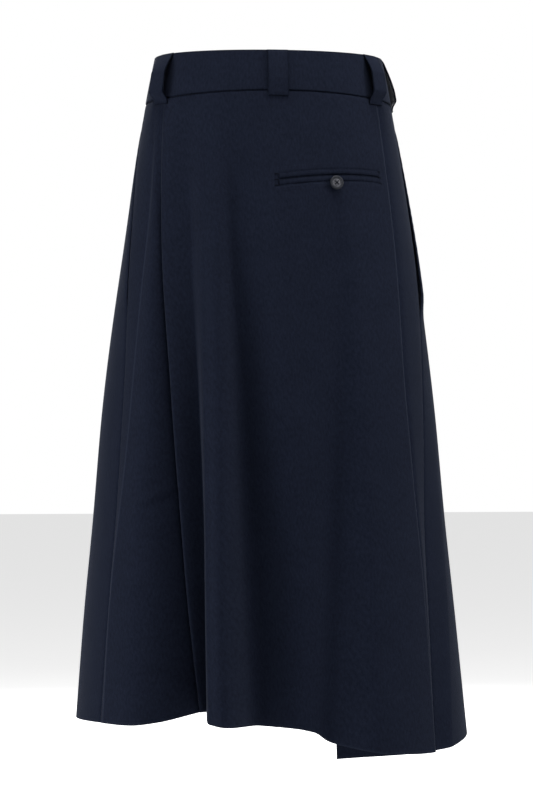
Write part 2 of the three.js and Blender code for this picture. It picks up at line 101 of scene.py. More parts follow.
# The hem is cut longest at the right front, where the ends of the wrap overlap
HEM = [
    dict(turn=-242, z=-0.824),
    dict(turn=-228, z=-0.819),
    dict(turn=-207, z=-0.807),
    dict(turn=-193, z=-0.794),
    dict(turn=-180, z=-0.784),
    dict(turn=-165, z=-0.776),
    dict(turn=-120, z=-0.771),
    dict(turn=-95, z=-0.767),
    dict(turn=-60, z=-0.7615),
    dict(turn=-47, z=-0.7605),
    dict(turn=-40, z=-0.757),
    dict(turn=-28, z=-0.748),
    dict(turn=-21, z=-0.7545),
    dict(turn=-8, z=-0.7601),
    dict(turn=3, z=-0.7616),
    dict(turn=9, z=-0.7658),
    dict(turn=14, z=-0.7772),
    dict(turn=21, z=-0.784),
    dict(turn=30, z=-0.79),
    dict(turn=50, z=-0.795),
    dict(turn=70, z=-0.7895),
    dict(turn=86, z=-0.787),
    dict(turn=100, z=-0.805),
    dict(turn=114, z=-0.822),
    dict(turn=130, z=-0.833),
    dict(turn=153, z=-0.843),
]

WAIST_SEAM = -0.04615
WAIST_SEAM_DIP = 0.006
FLAP_LIFT = 0.0036
FLAP_LIFT_TURNS = (-204, -178)


def blend(u, start, end, slope_start, slope_end):
    """Cubic from start to end with a slope at each."""
    rest = 1 - u
    return (start * (1 + 2 * u) * rest**2 + end * (3 - 2 * u) * u**2
            + slope_start * u * rest**2 - slope_end * u**2 * rest)


def curve_through(xs, ys):
    """A smooth curve through rising points, which never swings past the ones beside it."""
    xs, ys = np.array(xs, float), np.array(ys, float)
    chord = np.diff(ys) / np.diff(xs)
    slope = np.concatenate((chord[:1], np.zeros(len(xs) - 2), chord[-1:]))
    same = chord[:-1] * chord[1:] > 0
    both = chord[:-1][same], chord[1:][same]
    slope[1:-1][same] = 2 * both[0] * both[1] / (both[0] + both[1])

    def at(x):
        x = np.clip(x, xs[0], xs[-1])
        k = np.clip(np.searchsorted(xs, x, side="right") - 1, 0, len(xs) - 2)
        span = xs[k + 1] - xs[k]
        return blend((x - xs[k]) / span, ys[k], ys[k + 1], slope[k] * span, slope[k + 1] * span)

    return at


def smooth(low, high, x):
    """0 below low, 1 above high, and a soft step between."""
    u = np.clip((x - low) / (high - low), 0, 1)
    return u * u * (3 - 2 * u)


def curve_of(rows, along, value):
    """A smooth curve through one column of a table against another."""
    rows = sorted(rows, key=lambda row: row[along])
    return curve_through([row[along] for row in rows], [row[value] for row in rows])


half_width = curve_of(SECTIONS, "z", "half_width")
half_depth = curve_of(SECTIONS, "z", "half_depth")
hem_height = curve_of(HEM, "turn", "z")
turn_of = [curve_through(LEVELS[::-1], line["turn"][::-1]) for line in LINES]
depth_of = [curve_through(LEVELS[::-1], line["depth"][::-1]) for line in LINES]
crease_of, crease_starts, painted_highlight_of = (
    np.array([line.get(column, 0) for line in LINES], float) for column in ("crease", "starts", "painted_highlight"))
CREASE_FADE = 0.035
line_number = {line["name"]: k for k, line in enumerate(LINES)}


def waist_seam(turn):
    return WAIST_SEAM - WAIST_SEAM_DIP * np.sin(np.radians(turn)) ** 2


def metres_per_degree(turn, z):
    """How far a degree of turn reaches round the plain section."""
    s, c = np.sin(np.radians(turn)), np.cos(np.radians(turn))
    return np.radians(np.hypot(half_width(z) * c, half_depth(z) * s))


def begun(k, z):
    """0 above where the pressing of line k begins, and 1 well below it."""
    return np.where(crease_starts[k] < 0, 1 - smooth(-CREASE_FADE, CREASE_FADE, z - crease_starts[k]), 1)


# The cloth can't bend sharper than this, so a line's corner is rounded over it, in degrees of turn
BEND = 0.22


def fold_depth(turn, z):
    """How far the folds carry the cloth out of the plain section."""
    turns = np.array([at(z) for at in turn_of])
    depths = np.array([at(z) for at in depth_of])
    total = np.zeros(np.shape(z))
    for shift in (-BEND, 0, BEND):
        at = turn + shift
        k = (turns[1:-1] > at).sum(0)
        start, end = (np.take_along_axis(turns, (k + n)[None], 0)[0] for n in (0, 1))
        low, high = (np.take_along_axis(depths, (k + n)[None], 0)[0] for n in (0, 1))
        u = np.clip((at - start) / (end - start), 0, 1)
        slopes = [(high - low) * crease_of[k + n] * begun(k + n, z) for n in (0, 1)]
        total += blend(u, low, high, *slopes)
    return total / 3


def on_skirt(turn, z):
    """A point of the cloth's middle."""
    a, b = half_width(z), half_depth(z)
    s, c = np.sin(np.radians(turn)), np.cos(np.radians(turn))
    lift = FLAP_LIFT * (1 - smooth(*FLAP_LIFT_TURNS, turn))
    out = (fold_depth(turn, z) + lift) / np.hypot(s / a, c / b)
    return np.stack((-a * s - out * s / a, b * c + out * c / b, z + 0 * turn), -1)


NEAR_TURN = 0.12
NEAR_Z = 0.001


def unit(v):
    return v / np.linalg.norm(v, axis=-1, keepdims=True)


def cloth_at(turn, z, out=0.0):
    """Points at that turn and height, moved out of the cloth by out."""
    turn, z, out = np.broadcast_arrays(np.asarray(turn, float), z, out)
    point = on_skirt(turn, z)
    round_it = unit(on_skirt(turn + NEAR_TURN, z) - point) + unit(point - on_skirt(turn - NEAR_TURN, z))
    up = on_skirt(turn, z + NEAR_Z) - on_skirt(turn, z - NEAR_Z)
    return point + unit(np.cross(round_it, up)) * out[..., None]


# Small creases pressed or pulled into the cloth: a ridge has height above 0 and a trough below 0
CREASES = [
    dict(name="drag line", start=(-38.0, -0.496), end=(-51.0, -0.515), width=0.0028, height=0.0011),
    dict(name="drag hollow", start=(-38.0, -0.503), end=(-50.0, -0.522), width=0.0040, height=-0.0010),
    dict(name="hem pucker 1", start=(-5.0, -0.764), end=(-4.6, -0.728), width=0.0030, height=0.0012),
    dict(name="hem pucker 2", start=(-2.4, -0.766), end=(-2.0, -0.736), width=0.0028, height=0.0014),
    dict(name="hem pucker 3", start=(0.4, -0.766), end=(0.6, -0.731), width=0.0030, height=0.0013),
    dict(name="hem pucker 4", start=(3.2, -0.768), end=(3.3, -0.735), width=0.0028, height=0.0015),
    dict(name="hem pucker 5", start=(5.9, -0.770), end=(5.7, -0.741), width=0.0026, height=0.0011),
    dict(name="seat pull left", start=(-15.0, -0.135), end=(-20.5, -0.215), width=0.012, height=-0.0014),
    dict(name="seat pull right", start=(18.0, -0.215), end=(13.5, -0.330), width=0.014, height=-0.0016),
    dict(name="seat pull middle", start=(10.5, -0.190), end=(6.0, -0.430), width=0.011, height=-0.0024),
    dict(name="hip pull", start=(-44.0, -0.130), end=(-33.0, -0.240), width=0.010, height=-0.0012),
    dict(name="side pull", start=(-60.0, -0.120), end=(-56.0, -0.190), width=0.006, height=0.0008),
    dict(name="front pull left", start=(-128, -0.110), end=(-122, -0.260), width=0.014, height=-0.0016),
    dict(name="front pull middle", start=(-172, -0.120), end=(-167, -0.300), width=0.016, height=-0.0016),
    dict(name="front pull right", start=(-214, -0.110), end=(-210, -0.260), width=0.013, height=-0.0014),
]


# The shares of its length over which a crease rises out of the cloth and sinks back
CREASE_RISES = (-0.25, 0.3)
CREASE_SINKS = (0.7, 1.25)


def bell(away, reach):
    """1 on a line, fading to nothing beyond its reach."""
    return np.exp(-((away / reach) ** 2))


def creases(turn, z):
    """How far the small creases move the cloth out."""
    total = np.zeros(np.shape(z))
    for row in CREASES:
        (turn_a, z_a), (turn_b, z_b) = row["start"], row["end"]
        scale = metres_per_degree(turn_a, z_a)
        along = np.array(((turn_b - turn_a) * scale, z_b - z_a))
        x, y = (turn - turn_a) * scale, z - z_a
        u = (x * along[0] + y * along[1]) / (along @ along)
        across = (x * along[1] - y * along[0]) / np.linalg.norm(along)
        fade = smooth(*CREASE_RISES, u) * (1 - smooth(*CREASE_SINKS, u))
        total += row["height"] * fade * bell(across, row["width"])
    return total


# Uneven puckers along a seam, where the thread draws the cloth in
PUCKER_HEIGHT = 0.00022
PUCKER_REACH = 0.006
PUCKER_PITCH = 0.011
PUCKER_DRIFT = 1.7
PUCKER_DRIFT_PITCHES = 4.3


def puckers(along, away):
    drift = PUCKER_DRIFT * np.sin(2 * np.pi * along / (PUCKER_PITCH * PUCKER_DRIFT_PITCHES))
    wave = np.sin(2 * np.pi * along / PUCKER_PITCH + drift)
    return PUCKER_HEIGHT * wave * np.exp(-np.abs(away) / PUCKER_REACH)


# A panel is one thickness of twill. Behind its seams lies the pressed-open allowance and behind its
# hem the turning, so it is thicker there, and every edge is rounded.
CLOTH_OUT = 0.0007
CLOTH_IN = -0.0001
TURNED_IN = -0.0008
ALLOWANCE = 0.012
ALLOWANCE_EDGE = 0.0004
HEM_TURNING = 0.038
HEM_TURNING_EDGE = 0.0005
EDGE_ROUND = 0.0009
EDGE_ROUND_PLAIN = 0.0002
SEAM_ROLL = 0.0007
SEAM_ROLL_REACH = 0.0022
WAIST_ROLL = 0.0011
WAIST_ROLL_REACH = 0.0017
# Painted light in the cloth's colour: how far the painted shade under the waist seam and the painted
# highlights along the hem and the lines reach, and how light the hem is painted
WAIST_SEAM_PAINTED_SHADE_REACH = 0.0009
PAINTED_HIGHLIGHT_REACH = 0.0011
HEM_PAINTED_HIGHLIGHT = 0.6
SEAM_STATIONS = np.array((0, 0.05, 0.16, 0.36, 0.7, 1.2, 1.9, 2.9, 4.3, 6, 8, 10.2, 11.5, 12.4, 13.4)) / 1000
CREASE_STATIONS = np.array((0, 0.5, 1.1, 1.9, 3, 4.6, 6.6, 9)) / 1000
HEM_STATIONS = np.array((0, 0.05, 0.16, 0.36, 0.7, 1.2, 1.9, 2.9, 4.3, 6.4, 9, 12, 16, 20, 24,
                         28, 32, 35.5, 37.4, 38.4, 40)) / 1000
TOP_STATIONS = SEAM_STATIONS[:11]
STRIP_STATIONS = SEAM_STATIONS[:8]
SHARP_CREASE = 0.4
PANEL_STEP = 0.0042
PANEL_LENGTH = 0.72
NEAR_HEM = -0.78
ZONES_SHARE = 0.9
SETTLE_STEPS = 6
TINY = 1e-6


def stations(span, start, end):
    """Shares of the start zone, the middle and the end zone for each place across a span of cloth."""
    from_start, from_end = (zone[-1] if len(zone) else 0 for zone in (start, end))
    steps = max(2, round((span - from_start - from_end) / PANEL_STEP))
    places = [(d / start[-1], 0, 0) for d in start[:-1]] if len(start) else []
    places += [(1, n / steps, 0) for n in range(steps)]
    places += [(1, 1, 1 - d / end[-1]) for d in end[:0:-1]] if len(end) else []
    return places


def panel_grid(first, last):
    """Turn and height over a panel between two lines, closer together beside its seams and creases."""
    columns = []
    for k in range(first, last):
        zones = []
        for line, edge in ((k, first), (k + 1, last)):
            pressed = CREASE_STATIONS if crease_of[line] >= SHARP_CREASE else ()
            zones.append(np.array(SEAM_STATIONS if line == edge else pressed))
        here, after = turn_of[k](NEAR_HEM), turn_of[k + 1](NEAR_HEM)
        reach = [zone[-1] if len(zone) else 0 for zone in zones]
        span = abs(here - after) * metres_per_degree(here, NEAR_HEM)
        columns += [(k, *reach, *place) for place in stations(span, *zones)]
    columns.append((last - 1, *reach, 1, 1, 1))
    k, near, far, a, s, b = (np.array(part)[:, None] for part in zip(*columns))
    down = stations(PANEL_LENGTH, TOP_STATIONS, HEM_STATIONS) + [(1, 1, 1)]
    top_share, middle_share, hem_share = (np.array(part)[None] for part in zip(*down))
    top_zone, hem_zone = TOP_STATIONS[-1], HEM_STATIONS[-1]
    z = np.full((len(k), len(down)), LEVELS[0])
    for _ in range(SETTLE_STEPS):
        turns = np.array([at(z) for at in turn_of])
        index = np.broadcast_to(k, z.shape)[None]
        start, end = (np.take_along_axis(turns, index + n, 0)[0] for n in (0, 1))
        span = (start - end) * metres_per_degree((start + end) / 2, z)
        fit = np.minimum(1, ZONES_SHARE * span / (near + far + TINY))
        reach = near * fit * a + (span - (near + far) * fit) * s + far * fit * b
        turn = start + (end - start) * reach / span
        top, bottom = waist_seam(turn), hem_height(turn)
        middle = top - bottom - top_zone - hem_zone
        z = top - top_zone * top_share - middle * middle_share - hem_zone * hem_share
    return turn, z


def rounded(distance, radius=EDGE_ROUND):
    """From 0 at an edge of the cloth to 1 where its rounding ends."""
    return np.sqrt(1 - (1 - np.clip(distance / radius, 0, 1)) ** 2)


def in_scene(name, data):
    """An object of the scene that holds a mesh, a light or the camera."""
    made = bpy.data.objects.new(name, data)
    bpy.context.scene.collection.objects.link(made)
    return made


def soft_mesh(name, points, faces):
    """A mesh with its faces shaded smooth."""
    mesh = bpy.data.meshes.new(name)
    mesh.from_pydata(points, [], faces)
    mesh.polygons.foreach_set("use_smooth", np.ones(len(faces), bool))
    return mesh


def shell(name, outer, inner, cloth_map, pressed):
    """A closed shell of cloth from its outer and inner points, which share their border."""
    columns, rows = outer.shape[:2]
    number = np.arange(columns * rows).reshape(columns, rows)
    behind = number.copy()
    behind[1:-1, 1:-1] = columns * rows + np.arange((columns - 2) * (rows - 2)).reshape(columns - 2, rows - 2)
    border = np.ones((columns, rows), bool)
    border[1:-1, 1:-1] = False
    edge = ((outer + inner) / 2)[border]
    outer = outer.copy()
    outer[border] = edge
    points = np.concatenate((outer.reshape(-1, 3), inner[1:-1, 1:-1].reshape(-1, 3)))

    def quads(grid):
        return np.stack((grid[:-1, :-1], grid[1:, :-1], grid[1:, 1:], grid[:-1, 1:]), -1).reshape(-1, 4)

    i, j = columns // 2, rows // 2
    normal = np.cross(outer[i + 1, j] - outer[i, j], outer[i, j + 1] - outer[i, j])
    faces_out = float(normal @ (outer[i, j] - inner[i, j])) > 0
    front, back = quads(number), quads(behind)
    faces = np.concatenate((front, back[:, ::-1]) if faces_out else (front[:, ::-1], back))
    mesh = soft_mesh(name, points.tolist(), faces.tolist())
    maps = np.concatenate((cloth_map.reshape(-1, 2), cloth_map[1:-1, 1:-1].reshape(-1, 2)))
    layer = mesh.uv_layers.new(name="cloth")
    corners = np.zeros(len(mesh.loops), np.int32)
    mesh.loops.foreach_get("vertex_index", corners)
    layer.data.foreach_set("uv", maps[corners].astype(np.float32).ravel())
    # pressed carries painted highlights and painted shade for the twill's colour, and its gloss
    values = np.concatenate((pressed.ravel(), pressed[1:-1, 1:-1].ravel()))
    mesh.attributes.new("pressed", "FLOAT", "POINT").data.foreach_set("value", values.astype(np.float32))
    mesh.update()
    return in_scene(name, mesh)


def flat_places(first, last, turn, z):
    """Where points between two lines lie on the flat cloth."""
    middle = (turn_of[first](z) + turn_of[last](z)) / 2
    return np.stack(((turn - middle) * metres_per_degree(turn, z), z), -1)


def panel(name, first_line, last_line, shaped=None):
    """A panel of the skirt between two lines, in place."""
    first, last = line_number[first_line], line_number[last_line]
    turn, z = panel_grid(first, last)
    scale = metres_per_degree(turn, z)
    sides = [(line, np.abs(turn_of[line](z) - turn) * scale) for line in (first, last)]
    from_side = np.minimum(sides[0][1], sides[1][1])
    from_hem = z - hem_height(turn)
    from_top = waist_seam(turn) - z
    turned = np.maximum(
        1 - smooth(ALLOWANCE - ALLOWANCE_EDGE, ALLOWANCE + ALLOWANCE_EDGE, from_side),
        1 - smooth(HEM_TURNING - HEM_TURNING_EDGE, HEM_TURNING + HEM_TURNING_EDGE, from_hem))
    edge = rounded(np.minimum(from_hem, from_top))
    move = creases(turn, z) + puckers(turn * scale, from_top)
    move -= WAIST_ROLL * bell(from_top, WAIST_ROLL_REACH)
    for line, away in sides:
        radius = EDGE_ROUND_PLAIN + (EDGE_ROUND - EDGE_ROUND_PLAIN) * begun(line, z)
        edge = np.minimum(edge, rounded(away, radius))
        move += (puckers(z, away) - SEAM_ROLL * bell(away, SEAM_ROLL_REACH)) * begun(line, z)
    if shaped is not None:
        move += shaped(turn, z)
    outer = cloth_at(turn, z, move + CLOTH_OUT * edge)
    inner = cloth_at(turn, z, move + (CLOTH_IN + (TURNED_IN - CLOTH_IN) * turned) * edge)
    # Painted highlights along the hem and along the lines that have one, and painted shade just under the
    # waist seam. The twill is also glossier where this is lighter and rougher where it is darker.
    pressed = HEM_PAINTED_HIGHLIGHT * np.exp(-from_hem / PAINTED_HIGHLIGHT_REACH) - bell(from_top, WAIST_SEAM_PAINTED_SHADE_REACH)
    for k in range(first, last + 1):
        away = (turn_of[k](z) - turn) * scale
        pressed = pressed + painted_highlight_of[k] * begun(k, z) * bell(away, PAINTED_HIGHLIGHT_REACH)
    return shell(name, outer, inner, flat_places(first, last, turn, z), pressed)


# The twill: fine diagonal ribs, a slight unevenness of the dye, and a little gloss where it is pressed,
# with the pressed attribute's painted highlights and painted shade in its colour
def group(name, inputs, outputs):
    """An empty shader node group. An input without a value of its own takes a place on the cloth."""
    tree = bpy.data.node_groups.new(name, "ShaderNodeTree")
    for socket, value in inputs.items():
        kind = "NodeSocketVector" if value is None else "NodeSocketFloat"
        made = tree.interface.new_socket(socket, in_out="INPUT", socket_type=kind)
        if value is not None:
            made.default_value = value
    for socket in outputs:
        tree.interface.new_socket(socket, in_out="OUTPUT", socket_type="NodeSocketFloat")
    return tree, tree.nodes.new("NodeGroupInput").outputs, tree.nodes.new("NodeGroupOutput").inputs


def node(tree, kind, sets={}, **settings):
    """A node with its settings. sets gives its inputs, by name or number, as values or as sockets."""
    made = tree.nodes.new(kind)
    for key, value in settings.items():
        setattr(made, key, value)
    for socket, value in sets.items():
        if isinstance(value, bpy.types.NodeSocket):
            tree.links.new(value, made.inputs[socket])
        else:
            made.inputs[socket].default_value = value
    return made


def sums(tree, operation, *values):
    """A Math node on values that are numbers or sockets."""
    return node(tree, "ShaderNodeMath", dict(enumerate(values)), operation=operation).outputs[0]


def mixed(tree, share, first, second):
    """The first colour where the share is 0, and the second where it is 1."""
    colours = {"Factor": share, "A": first, "B": second}
    return node(tree, "ShaderNodeMix", colours, data_type="RGBA").outputs["Result"]


def finish(name, sets):
    """A material, its nodes and its shader's inputs, with these of them set."""
    material = bpy.data.materials.new(name)
    material.use_nodes = True
    shader = material.node_tree.nodes["Principled BSDF"].inputs
    for socket, value in sets.items():
        shader[socket].default_value = value
    return material, material.node_tree, shader


RIB_DRIFT = 0.7
RIB_HEIGHT = 0.5
YARNS_A_RIB = 1.7
YARN_HEIGHT = 0.14
twill_ribs, given, result = group(
    "TwillRibs", {"Cloth": None, "Rib pitch": 0.0007, "Slope": 1.1}, ("Height", "Shade"))
split = node(twill_ribs, "ShaderNodeSeparateXYZ", {0: given["Cloth"]}).outputs
uneven = node(twill_ribs, "ShaderNodeTexNoise", {"Vector": given["Cloth"], "Scale": 260.0, "Detail": 2.0})
sloped = sums(twill_ribs, "MULTIPLY", split["Y"], given["Slope"])
ribs = sums(twill_ribs, "DIVIDE", sums(twill_ribs, "ADD", split["X"], sloped), given["Rib pitch"])
ribs = sums(twill_ribs, "ADD", ribs, sums(twill_ribs, "MULTIPLY", uneven.outputs["Fac"], RIB_DRIFT))
rib_wave = sums(twill_ribs, "SINE", sums(twill_ribs, "MULTIPLY", ribs, 2 * math.pi))
yarns = sums(twill_ribs, "DIVIDE", split["Y"], given["Rib pitch"])
yarn_wave = sums(twill_ribs, "SINE", sums(twill_ribs, "MULTIPLY", yarns, 2 * math.pi * YARNS_A_RIB))
rib_height = sums(twill_ribs, "MULTIPLY", rib_wave, RIB_HEIGHT)
yarn_height = sums(twill_ribs, "MULTIPLY", yarn_wave, YARN_HEIGHT)
twill_ribs.links.new(sums(twill_ribs, "ADD", rib_height, yarn_height), result["Height"])
twill_ribs.links.new(sums(twill_ribs, "MULTIPLY_ADD", rib_wave, 0.5, 0.5), result["Shade"])

FLECK_SLANT = math.radians(42)
FLECK_LENGTHENING = 0.42
dye, given, result = group(
    "DyeUnevenness", {"Cloth": None, "Patch size": 0.03}, ("Patches", "Flecks", "Fibres"))
per_metre = sums(dye, "DIVIDE", 1.0, given["Patch size"])
along_ribs = node(dye, "ShaderNodeMapping", {
    "Vector": given["Cloth"], "Rotation": (0, 0, FLECK_SLANT), "Scale": (1.0, FLECK_LENGTHENING, 1.0)})
for grain, place, grain_looks in (
    ("Patches", given["Cloth"], {"Scale": per_metre, "Detail": 3.0, "Roughness": 0.6}),
    ("Flecks", along_ribs.outputs["Vector"], {"Scale": 430.0, "Detail": 3.0, "Roughness": 0.65}),
    ("Fibres", given["Cloth"], {"Scale": 900.0, "Detail": 2.0}),
):
    noise = node(dye, "ShaderNodeTexNoise", {"Vector": place, **grain_looks})
    dye.links.new(noise.outputs["Fac"], result[grain])

# How much each grain lightens the twill, and the level that is taken off it
PATCH_TONE = 0.3
FIBRE_TONE = 0.35
FLECK_TONE = 1.2
RIB_TONE = 0.18
TONE_LEVEL = 0.435
# How far the pressed attribute's painted highlights lighten the twill and its painted shade darkens it
PAINTED_LIGHT_TONE = 0.7
ROUGH = 0.9
PRESSED_GLOSS = 0.25
FLECK_BUMP = 0.12


def twill(name, deep, light):
    """Dyed twill from a deep to a light colour of its unevenness, with the painted highlights and painted
    shade of the pressed attribute.
    """
    material, tree, shader = finish(name, {
        "Specular IOR Level": 0.08,
        "Sheen Weight": 0.06,
        "Sheen Roughness": 0.35,
        "Sheen Tint": (0.72, 0.8, 1.0, 1.0),
    })
    cloth = node(tree, "ShaderNodeUVMap", uv_map="cloth").outputs["UV"]
    pressed = node(tree, "ShaderNodeAttribute", attribute_name="pressed").outputs["Fac"]
    weave = node(tree, "ShaderNodeGroup", {"Cloth": cloth}, node_tree=twill_ribs).outputs
    grain = node(tree, "ShaderNodeGroup", {"Cloth": cloth}, node_tree=dye).outputs
    tone = sums(tree, "MULTIPLY", grain["Patches"], PATCH_TONE)
    for more, strength in (
        (grain["Fibres"], FIBRE_TONE), (grain["Flecks"], FLECK_TONE), (weave["Shade"], RIB_TONE)):
        tone = sums(tree, "ADD", tone, sums(tree, "MULTIPLY", more, strength))
    tone = sums(tree, "SUBTRACT", tone, TONE_LEVEL)
    # Painted highlights and painted shade from the pressed attribute
    tone = sums(tree, "ADD", tone, sums(tree, "MULTIPLY", pressed, PAINTED_LIGHT_TONE))
    gloss = sums(tree, "MULTIPLY", pressed, PRESSED_GLOSS)
    soft_height = sums(tree, "ADD", grain["Patches"], sums(tree, "MULTIPLY", grain["Flecks"], FLECK_BUMP))
    soft_bump = node(tree, "ShaderNodeBump", {"Strength": 0.3, "Distance": 0.0007, "Height": soft_height})
    rib_bump = {"Strength": 0.6, "Distance": 0.00006, "Height": weave["Height"]}
    bump = node(tree, "ShaderNodeBump", {**rib_bump, "Normal": soft_bump.outputs["Normal"]})
    tree.links.new(mixed(tree, tone, (*deep, 1), (*light, 1)), shader["Base Color"])
    tree.links.new(sums(tree, "SUBTRACT", ROUGH, gloss), shader["Roughness"])
    tree.links.new(bump.outputs["Normal"], shader["Normal"])
    return material


NAVY_DEEP = (0.0030, 0.0048, 0.0112)
NAVY_LIGHT = (0.0150, 0.0202, 0.0400)
navy_twill = twill("navy_twill", NAVY_DEEP, NAVY_LIGHT)


def finish_piece(piece, material, slot, *nodes):
    """The piece is in its material, and stands for these solids if there are any."""
    piece.data.materials.append(material)
    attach(piece, "root")
    if nodes:
        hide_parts(*nodes)
    return piece


# The welt pocket is cut into this panel: the cloth is set back under its two jets, which lie along a
# slit that tilts up to the right and arches a little.
POCKET_TURNS = (-0.6, 47.2)
POCKET_ENDS_Z = (-0.1496, -0.1429)
POCKET_ARCH = 0.0034
JET_HEIGHT = 0.0064
JET_SLIT = 0.0013
POCKET_SET_BACK = 0.0030
POCKET_SOFT_EDGE = 0.0045


def slit_height(turn):
    """Height of the slit at that turn, and how far along it this is, from 0 to 1."""
    share = (turn - POCKET_TURNS[0]) / (POCKET_TURNS[1] - POCKET_TURNS[0])
    flat = POCKET_ENDS_Z[0] + (POCKET_ENDS_Z[1] - POCKET_ENDS_Z[0]) * share
    return flat + POCKET_ARCH * (1 - (2 * share - 1) ** 2), share


def set_back_for_pocket(turn, z):
    height, share = slit_height(turn)
    past_end = (np.abs(share - 0.5) - 0.5) * (POCKET_TURNS[1] - POCKET_TURNS[0]) * metres_per_degree(turn, z)
    outside = np.maximum(np.abs(z - height) - JET_HEIGHT, past_end)
    return -POCKET_SET_BACK * (1 - smooth(-POCKET_SOFT_EDGE, 0, outside))


back_centre = panel("back_centre", "right back seam", "left back seam", set_back_for_pocket)
finish_piece(back_centre, navy_twill, "twill", "back_centre_panel")


# Back left panel: the same twill, from the seam inside the released pleat to the left side seam, with
# one pressed crease down it.
back_left = panel("back_left", "left back seam", "left side seam")
finish_piece(back_left, navy_twill, "twill", "back_left_panel")

# Back right panel: the narrow gore between the back seam and the right side seam.
GORE_STEP = 0.0011
GORE_STEP_REACH = 0.0045
GORE_STEP_STARTS = WAIST_SEAM + 0.01
GORE_STEP_FULL = WAIST_SEAM - 0.05


def below_centre_panel(turn, z):
    """The allowances lie under the centre panel, so the gore drops away beside the seam."""
    away = (turn - turn_of[line_number["right back seam"]](z)) * metres_per_degree(turn, z)
    return -GORE_STEP * bell(away, GORE_STEP_REACH) * smooth(GORE_STEP_STARTS, GORE_STEP_FULL, z)


back_right = panel("back_right", "right side seam", "right back seam", below_centre_panel)
finish_piece(back_right, navy_twill, "twill", "back_right_panel")


# Wrap flap: the outer front panel. It starts at the left side seam, crosses the whole front and laps
# over the underlap at the right. The left pocket's mouth is a gap left in the side seam.
MOUTH_TOP = -0.064
MOUTH_BOTTOM = -0.310
MOUTH_GAPE_RIGHT = 0.005
MOUTH_GAPE_LEFT = 0.0014
MOUTH_WIDEST = 0.85
MOUTH_TOP_SHARE = 0.25
MOUTH_FADE = 0.045


def mouth_beside(seam_name, gape):
    """The front edge of a pocket mouth stands off the back one, and this fades towards the front."""
    seam = turn_of[line_number[seam_name]]

    def lift(turn, z):
        along = (MOUTH_TOP - z) / (MOUTH_TOP - MOUTH_BOTTOM)
        widening = MOUTH_TOP_SHARE + (1 - MOUTH_TOP_SHARE) * along / MOUTH_WIDEST
        opening = np.where(along < MOUTH_WIDEST, widening * smooth(0, MOUTH_TOP_SHARE / 2, along),
                           1 - smooth(MOUTH_WIDEST, 1, along))
        away = np.abs(np.radians(turn - seam(z))) * half_depth(z)
        return gape * np.where((along > 0) & (along < 1), opening, 0) * (1 - smooth(0, MOUTH_FADE, away))

    return lift


flap = panel("wrap_front", "left side seam", "flap edge", mouth_beside("left side seam", MOUTH_GAPE_LEFT))
finish_piece(flap, navy_twill, "twill", "wrap_flap")

# Underlap: the inner front panel, from its free edge under the flap to the right side seam, where the
# right pocket's mouth is.
under = panel("underlap_front", "underlap edge", "right side seam",
              mouth_beside("right side seam", MOUTH_GAPE_RIGHT))
finish_piece(under, navy_twill, "twill", "underlap")


# Pocket facings: a strip of twill behind each side pocket's mouth, so that no lining shows in the gap.
# Their twill is a darker copy of the navy twill: painted shade for the shadowed mouth.
FACING_BEHIND = 0.007
FACING_AHEAD = 0.026
FACING_DEPTH = 0.0017
FACING_THICK = 0.0006
FACING_STEPS = (0.004, 0.005)
FACING_PAINTED_SHADE = 0.8
EDGE_PAINTED_SHADE_REACH = 0.0008


def places(length, step):
    """Distances along one side of a strip, closer together at its rounded ends."""
    ends = STRIP_STATIONS
    between = np.linspace(ends[-1], length - ends[-1], max(2, round((length - 2 * ends[-1]) / step) + 1))
    return np.concatenate((ends[:-1], between, length - ends[-2::-1]))


def strip_grid(width, length, steps):
    """Distances across and down a strip of this size."""
    return np.meshgrid(places(width, steps[0]), places(length, steps[1]), indexing="ij")


def strip(name, turn, z, out, thick, across, down, radius=EDGE_ROUND):
    """A strip of cloth with rounded edges and painted shade along them, its middle out from the skirt. across
    and down are its sizes.
    """
    from_side = np.minimum(across, across[-1:, :] - across)
    from_end = np.minimum(down, down[:, -1:] - down)
    edge = rounded(np.minimum(from_side, from_end), radius)
    # Painted shade: the colour darkens towards every edge of the strip
    edge_painted_shade = np.exp(-np.minimum(from_side, from_end) / EDGE_PAINTED_SHADE_REACH)
    outer = cloth_at(turn, z, out + thick / 2 * edge)
    inner = cloth_at(turn, z, out - thick / 2 * edge)
    return shell(name, outer, inner, np.stack((across, down), -1), -edge_painted_shade)


# Painted shade: the facing's twill is the navy twill with its light colour darkened
facing_painted_shade_twill = twill("pocket_facing_painted_shade_twill", NAVY_DEEP, tuple(FACING_PAINTED_SHADE * c for c in NAVY_LIGHT))
for side, seam_name, forward in (("right", "right side seam", 1), ("left", "left side seam", -1)):
    seam = turn_of[line_number[seam_name]]
    across, down = strip_grid(FACING_BEHIND + FACING_AHEAD, MOUTH_TOP - MOUTH_BOTTOM, FACING_STEPS)
    z = MOUTH_TOP - down
    turn = seam(z) + forward * (across - FACING_BEHIND) / metres_per_degree(seam(z), z)
    piece = strip(f"side_pocket_facing_{side}", turn, z, -FACING_DEPTH, FACING_THICK, across, down)
    finish_piece(piece, facing_painted_shade_twill, "pocket_facing", f"pocket_facing_{side}")


# Waistband: two layers of twill over a stiffener, folded along the top edge and sewn to the panels
# along the bottom, in a back length and one length on each end of the wrap.
BAND_THICK = 0.0024
BAND_RADIUS = 0.0011
BAND_TOP_RISE = 0.0016
BAND_LEFT_JOIN = -92
BAND_RIGHT_JOIN = 88
BAND_SEAM_GAP = -0.0005
BAND_RIPPLE = 0.0003
RIPPLE_LENGTH = 0.019
RIPPLE_DRIFT_LENGTH = 0.051
BAND_STEPS = (0.0045, 0.0035)
BAND_PARTS = 200
UNDERLAP_END = LINES[line_number["underlap edge"]]["turn"][0]
FLAP_END = LINES[line_number["flap edge"]]["turn"][0]


